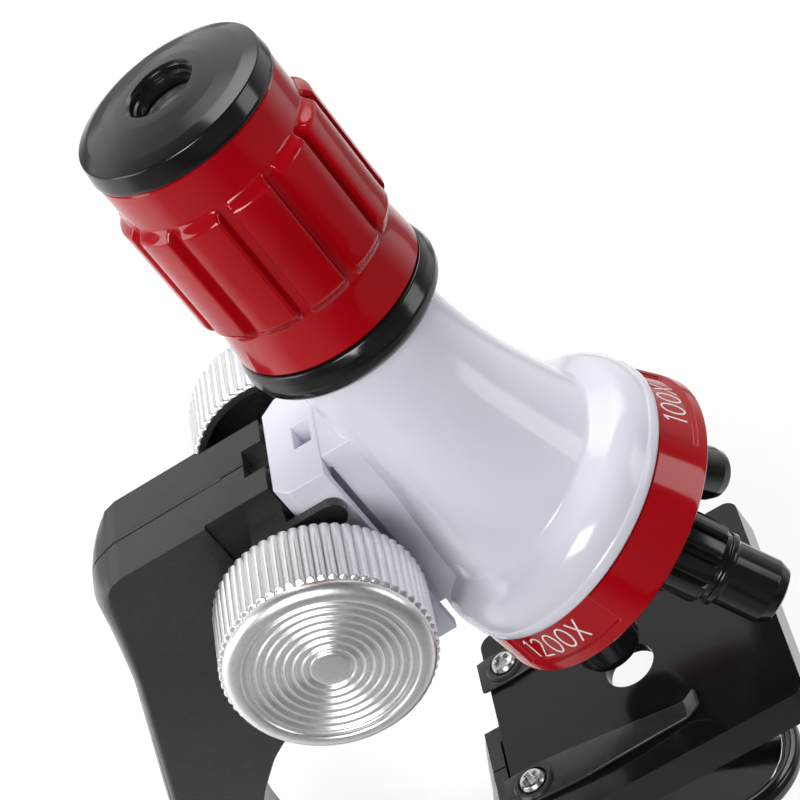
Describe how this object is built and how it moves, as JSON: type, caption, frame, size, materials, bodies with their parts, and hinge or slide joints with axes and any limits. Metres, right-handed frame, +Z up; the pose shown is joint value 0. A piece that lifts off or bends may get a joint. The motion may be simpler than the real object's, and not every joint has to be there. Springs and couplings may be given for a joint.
{
  "type": "kids microscope",
  "caption": "Toy microscope with a reclining arm, rack focus, lens turret, zoom eyepiece, stage clips, flip-over mirror lamp and a forked battery base.",
  "frame": {"origin": "middle of the bounding box of the whole part, on the table under the feet", "axes": "+Z up, +X to the front where the stage and the battery prongs are, +Y to the user's right seen from behind the arm; the tube stands reclined"},
  "size_m": [0.1408, 0.08, 0.2255],
  "materials": {
    "gloss_black": "glossy moulded ABS",
    "satin_black": "satin moulded ABS",
    "red_plastic": "glossy deep red ABS",
    "white_plastic": "glossy cool white ABS",
    "silver_paint": "moulded ABS under silver metallic paint",
    "zinc_steel": "zinc-plated steel",
    "pinion_brass": "cut brass",
    "lens_clear": "clear moulded acrylic",
    "mirror_glass": "silvered plate",
    "foot_rubber": "soft matt rubber",
    "cell_wrap": "film-wrapped metal can"
  },
  "bodies": {
    "base": {"base_shell": "satin_black", "base_plate": "satin_black", "hinge_bolt": "zinc_steel", "hinge_nut": "zinc_steel", "cell_left": "cell_wrap", "cell_right": "cell_wrap", "cell_spring_left": "zinc_steel", "cell_spring_right": "zinc_steel", "foot_front_left": "foot_rubber", "foot_front_right": "foot_rubber", "foot_back_left": "foot_rubber", "foot_back_right": "foot_rubber"},
    "arm": {"arm_shell_left": "satin_black", "arm_shell_right": "satin_black", "arm_screw_top": "zinc_steel", "arm_screw_middle": "zinc_steel", "arm_screw_low": "zinc_steel", "stage": "gloss_black", "clip_screw_left": "zinc_steel", "clip_screw_right": "zinc_steel", "dish_fork": "satin_black"},
    "carriage": {"head_body": "white_plastic", "focus_rack": "satin_black", "tube_collar": "gloss_black", "draw_tube": "satin_black", "field_lens": "lens_clear"},
    "focus_drive": {"focus_shaft": "zinc_steel", "focus_pinion": "pinion_brass", "focus_knob_left": "silver_paint", "focus_knob_right": "silver_paint"},
    "eyepiece": {"eyepiece_cap": "gloss_black", "eye_lens": "lens_clear", "eye_lens_retainer": "satin_black", "zoom_barrel": "red_plastic"},
    "turret": {"turret_ring": "red_plastic", "turret_plate": "satin_black", "turret_screw": "zinc_steel", "objective_short": "gloss_black", "objective_short_lens": "lens_clear", "objective_long": "gloss_black", "objective_long_lens": "lens_clear", "objective_medium": "gloss_black", "objective_medium_lens": "lens_clear"},
    "clip_left": {"stage_clip_left": "satin_black"},
    "clip_right": {"stage_clip_right": "satin_black"},
    "dish": {"lamp_dish": "satin_black", "mirror": "mirror_glass", "lamp_lens": "lens_clear", "lamp_led": "lens_clear"},
    "lid_left": {"cell_cap_left": "satin_black", "cell_plate_left": "zinc_steel"},
    "lid_right": {"cell_cap_right": "satin_black", "cell_plate_right": "zinc_steel"},
    "switch": {"lamp_switch": "red_plastic"}
  },
  "joints": [
    {"name": "arm_tilt", "type": "hinge", "parent": "base", "child": "arm", "pos_m": [0.02744, 0, 0.03535], "axis": [0, 1, 0], "range_deg": [0, 32.14]},
    {"name": "focus_slide", "type": "slide", "parent": "arm", "child": "carriage", "axis": [-0.532, 0, 0.8468], "range_m": [0, 0.015]},
    {"name": "focus_turn", "type": "hinge", "parent": "arm", "child": "focus_drive", "pos_m": [-0.02928, 0, 0.1231], "axis": [0, 1, 0], "range_deg": [-172, 0]},
    {"name": "zoom_turn", "type": "hinge", "parent": "carriage", "child": "eyepiece", "pos_m": [-0.0368, 0, 0.19398], "axis": [-0.532, 0, 0.8468], "range_deg": [-135, 135]},
    {"name": "turret_turn", "type": "hinge", "parent": "carriage", "child": "turret", "pos_m": [-0.00363, 0, 0.14119], "axis": [-0.797, 0, 0.604], "continuous": true},
    {"name": "clip_left_swivel", "type": "hinge", "parent": "arm", "child": "clip_left", "pos_m": [0.01233, -0.0172, 0.06861], "axis": [-0.532, 0, 0.8468], "range_deg": [-35, 0]},
    {"name": "clip_right_swivel", "type": "hinge", "parent": "arm", "child": "clip_right", "pos_m": [0.01233, 0.0172, 0.06861], "axis": [-0.532, 0, 0.8468], "range_deg": [0, 35]},
    {"name": "dish_flip", "type": "hinge", "parent": "arm", "child": "dish", "pos_m": [0.05125, 0, 0.05385], "axis": [0, 1, 0], "range_deg": [-45, 180]},
    {"name": "lid_left_pull", "type": "slide", "parent": "base", "child": "lid_left", "axis": [1, 0, 0], "range_m": [0, 0.015]},
    {"name": "lid_right_pull", "type": "slide", "parent": "base", "child": "lid_right", "axis": [1, 0, 0], "range_m": [0, 0.015]},
    {"name": "switch_slide", "type": "slide", "parent": "base", "child": "switch", "axis": [1, 0, 0], "range_m": [0, 0.0045]}
  ],
  "couplings": [
    {"joint": "focus_turn", "follows": "focus_slide", "rad_per_m": -196.08}
  ]
}
